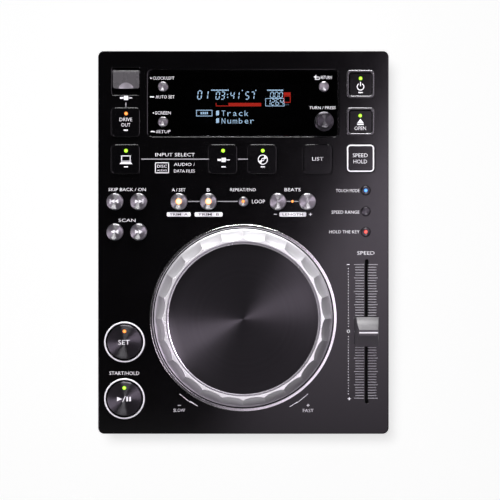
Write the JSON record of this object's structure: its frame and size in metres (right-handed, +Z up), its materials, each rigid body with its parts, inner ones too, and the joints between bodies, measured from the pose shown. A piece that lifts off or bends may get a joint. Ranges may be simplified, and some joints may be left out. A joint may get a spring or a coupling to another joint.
{
  "type": "tabletop disc player",
  "caption": "Black tabletop slot-loading disc player for DJ use, with a fluted jog wheel, tempo fader, display window, keys, push-turn knob and flap over a USB port.",
  "frame": {"origin": "on the table, under the middle of the overall outline, with the audio sockets that stand out at the rear included", "axes": "+X to the player's right, +Y to the rear, away from the user, +Z up"},
  "size_m": [0.2186, 0.2964, 0.1078],
  "materials": {
    "black_plastic": "satin black moulded plastic",
    "black_steel": "black painted sheet",
    "brass": "turned brass",
    "circuit_board": "green solder mask",
    "dark_spun_metal": "dark spun metal",
    "display_glass": "dark display glass",
    "felt": "black felt",
    "key_plastic": "smooth black plastic keys",
    "plated_silver": "bright satin silver",
    "rubber": "black rubber",
    "smoked_flap": "grey moulded plastic",
    "spun_metal": "spun grey metal faces",
    "steel": "bare steel",
    "white_trim": "white translucent ring",
    "window_acrylic": "polished near-black acrylic"
  },
  "bodies": {
    "case": {"audio_sockets": "plated_silver", "bottom_case": "black_steel", "computer_socket": "steel", "cue_trim_ring": "white_trim", "display_module": "display_glass", "display_window": "window_acrylic", "drive_chassis": "steel", "jog_spindle": "steel", "jog_trim_ring": "plated_silver", "key_board": "circuit_board", "main_board": "circuit_board", "mains_inlet": "key_plastic", "play_trim_ring": "white_trim", "power_board": "circuit_board", "rubber_foot_front_left": "rubber", "rubber_foot_front_right": "rubber", "rubber_foot_rear_left": "rubber", "rubber_foot_rear_right": "rubber", "slot_felt": "felt", "tempo_fader_body": "steel", "top_case": "black_plastic", "usb_socket": "steel"},
    "jog": {"jog_wheel": "plated_silver", "jog_top_plate": "dark_spun_metal", "jog_bearing": "brass", "jog_encoder_disc": "steel"},
    "select_push": {"select_shaft": "steel"},
    "select_turn": {"select_knob": "dark_spun_metal"},
    "tempo_fader": {"tempo_fader_knob": "black_plastic", "tempo_fader_lever": "steel"},
    "usb_flap": {"usb_flap": "smoked_flap"},
    "turntable": {"disc_turntable": "black_plastic"},
    "pickup": {"pickup_sled": "black_steel"},
    "lead_screw": {"lead_screw": "brass"},
    "roller": {"loading_roller": "rubber"},
    "track_back_key": {"track_back_button": "spun_metal"},
    "track_forward_key": {"track_forward_button": "spun_metal"},
    "search_back_key": {"search_back_button": "spun_metal"},
    "search_forward_key": {"search_forward_button": "spun_metal"},
    "loop_in_key": {"loop_in_button": "spun_metal"},
    "loop_out_key": {"loop_out_button": "spun_metal"},
    "loop_exit_key": {"loop_exit_button": "spun_metal"},
    "loop_halve_key": {"loop_halve_button": "spun_metal"},
    "loop_double_key": {"loop_double_button": "spun_metal"},
    "touch_mode_key": {"touch_mode_button": "key_plastic"},
    "tempo_range_key": {"tempo_range_button": "key_plastic"},
    "key_hold_key": {"key_hold_button": "key_plastic"},
    "cue_key": {"cue_button": "dark_spun_metal"},
    "play_key": {"play_button": "dark_spun_metal"},
    "usb_stop_key": {"usb_stop_button": "key_plastic"},
    "source_computer_key": {"source_computer_button": "key_plastic"},
    "source_usb_key": {"source_usb_button": "key_plastic"},
    "source_disc_key": {"source_disc_button": "key_plastic"},
    "playlist_key": {"playlist_button": "key_plastic"},
    "tempo_lock_key": {"tempo_lock_button": "key_plastic"},
    "power_key": {"power_button": "key_plastic"},
    "eject_key": {"eject_button": "key_plastic"},
    "time_mode_key": {"time_mode_button": "spun_metal"},
    "display_mode_key": {"display_mode_button": "spun_metal"},
    "back_key": {"back_button": "spun_metal"}
  },
  "joints": [
    {"name": "jog_spin", "type": "hinge", "parent": "case", "child": "jog", "pos_m": [0, -0.06095, 0.088], "axis": [0, 0, 1], "continuous": true},
    {"name": "select_press", "type": "slide", "parent": "case", "child": "select_push", "axis": [0, 0, -1], "range_m": [0, 0.0005], "stiffness_N_per_m": 600, "springref_m": -0.002},
    {"name": "select_spin", "type": "hinge", "parent": "select_push", "child": "select_turn", "pos_m": [0.0604, 0.08635, 0.088], "axis": [0, 0, 1], "continuous": true},
    {"name": "tempo_slide", "type": "slide", "parent": "case", "child": "tempo_fader", "axis": [0, 1, 0], "range_m": [-0.05, 0.05]},
    {"name": "usb_flap_hinge", "type": "hinge", "parent": "case", "child": "usb_flap", "pos_m": [-0.08825, 0.12395, 0.086], "axis": [-1, 0, 0], "range_deg": [0, 100]},
    {"name": "turntable_spin", "type": "hinge", "parent": "case", "child": "turntable", "pos_m": [0, -0.06095, 0.052], "axis": [0, 0, 1], "continuous": true},
    {"name": "pickup_slide", "type": "slide", "parent": "case", "child": "pickup", "axis": [0, 1, 0], "range_m": [0, 0.035]},
    {"name": "lead_screw_turn", "type": "hinge", "parent": "case", "child": "lead_screw", "pos_m": [0.029, -0.06095, 0.039], "axis": [0, 1, 0], "range_deg": [-10, 4210]},
    {"name": "loading_roller_spin", "type": "hinge", "parent": "case", "child": "roller", "pos_m": [0, -0.12625, 0.0472], "axis": [1, 0, 0], "continuous": true},
    {"name": "track_back_press", "type": "slide", "parent": "case", "child": "track_back_key", "axis": [0, 0, -1], "range_m": [0, 0.0005], "stiffness_N_per_m": 600, "springref_m": -0.001},
    {"name": "track_forward_press", "type": "slide", "parent": "case", "child": "track_forward_key", "axis": [0, 0, -1], "range_m": [0, 0.0005], "stiffness_N_per_m": 600, "springref_m": -0.001},
    {"name": "search_back_press", "type": "slide", "parent": "case", "child": "search_back_key", "axis": [0, 0, -1], "range_m": [0, 0.0005], "stiffness_N_per_m": 600, "springref_m": -0.001},
    {"name": "search_forward_press", "type": "slide", "parent": "case", "child": "search_forward_key", "axis": [0, 0, -1], "range_m": [0, 0.0005], "stiffness_N_per_m": 600, "springref_m": -0.001},
    {"name": "loop_in_press", "type": "slide", "parent": "case", "child": "loop_in_key", "axis": [0, 0, -1], "range_m": [0, 0.0005], "stiffness_N_per_m": 600, "springref_m": -0.001},
    {"name": "loop_out_press", "type": "slide", "parent": "case", "child": "loop_out_key", "axis": [0, 0, -1], "range_m": [0, 0.0005], "stiffness_N_per_m": 600, "springref_m": -0.001},
    {"name": "loop_exit_press", "type": "slide", "parent": "case", "child": "loop_exit_key", "axis": [0, 0, -1], "range_m": [0, 0.0005], "stiffness_N_per_m": 600, "springref_m": -0.001},
    {"name": "loop_halve_press", "type": "slide", "parent": "case", "child": "loop_halve_key", "axis": [0, 0, -1], "range_m": [0, 0.0005], "stiffness_N_per_m": 600, "springref_m": -0.001},
    {"name": "loop_double_press", "type": "slide", "parent": "case", "child": "loop_double_key", "axis": [0, 0, -1], "range_m": [0, 0.0005], "stiffness_N_per_m": 600, "springref_m": -0.001},
    {"name": "touch_mode_press", "type": "slide", "parent": "case", "child": "touch_mode_key", "axis": [0, 0, -1], "range_m": [0, 0.0005], "stiffness_N_per_m": 600, "springref_m": -0.001},
    {"name": "tempo_range_press", "type": "slide", "parent": "case", "child": "tempo_range_key", "axis": [0, 0, -1], "range_m": [0, 0.0005], "stiffness_N_per_m": 600, "springref_m": -0.001},
    {"name": "key_hold_press", "type": "slide", "parent": "case", "child": "key_hold_key", "axis": [0, 0, -1], "range_m": [0, 0.0005], "stiffness_N_per_m": 600, "springref_m": -0.001},
    {"name": "cue_press", "type": "slide", "parent": "case", "child": "cue_key", "axis": [0, 0, -1], "range_m": [0, 0.0005], "stiffness_N_per_m": 600, "springref_m": -0.001},
    {"name": "play_press", "type": "slide", "parent": "case", "child": "play_key", "axis": [0, 0, -1], "range_m": [0, 0.0005], "stiffness_N_per_m": 600, "springref_m": -0.001},
    {"name": "usb_stop_press", "type": "slide", "parent": "case", "child": "usb_stop_key", "axis": [0, 0, -1], "range_m": [0, 0.0005], "stiffness_N_per_m": 600, "springref_m": -0.001},
    {"name": "source_computer_press", "type": "slide", "parent": "case", "child": "source_computer_key", "axis": [0, 0, -1], "range_m": [0, 0.0005], "stiffness_N_per_m": 600, "springref_m": -0.001},
    {"name": "source_usb_press", "type": "slide", "parent": "case", "child": "source_usb_key", "axis": [0, 0, -1], "range_m": [0, 0.0005], "stiffness_N_per_m": 600, "springref_m": -0.001},
    {"name": "source_disc_press", "type": "slide", "parent": "case", "child": "source_disc_key", "axis": [0, 0, -1], "range_m": [0, 0.0005], "stiffness_N_per_m": 600, "springref_m": -0.001},
    {"name": "playlist_press", "type": "slide", "parent": "case", "child": "playlist_key", "axis": [0, 0, -1], "range_m": [0, 0.0005], "stiffness_N_per_m": 600, "springref_m": -0.001},
    {"name": "tempo_lock_press", "type": "slide", "parent": "case", "child": "tempo_lock_key", "axis": [0, 0, -1], "range_m": [0, 0.0005], "stiffness_N_per_m": 600, "springref_m": -0.001},
    {"name": "power_press", "type": "slide", "parent": "case", "child": "power_key", "axis": [0, 0, -1], "range_m": [0, 0.0005], "stiffness_N_per_m": 600, "springref_m": -0.001},
    {"name": "eject_press", "type": "slide", "parent": "case", "child": "eject_key", "axis": [0, 0, -1], "range_m": [0, 0.0005], "stiffness_N_per_m": 600, "springref_m": -0.001},
    {"name": "time_mode_press", "type": "slide", "parent": "case", "child": "time_mode_key", "axis": [0, 0, -1], "range_m": [0, 0.0005], "stiffness_N_per_m": 600, "springref_m": -0.001},
    {"name": "display_mode_press", "type": "slide", "parent": "case", "child": "display_mode_key", "axis": [0, 0, -1], "range_m": [0, 0.0005], "stiffness_N_per_m": 600, "springref_m": -0.001},
    {"name": "back_press", "type": "slide", "parent": "case", "child": "back_key", "axis": [0, 0, -1], "range_m": [0, 0.0005], "stiffness_N_per_m": 600, "springref_m": -0.001}
  ],
  "couplings": [
    {"joint": "lead_screw_turn", "follows": "pickup_slide", "rad_per_m": 2094.4}
  ]
}
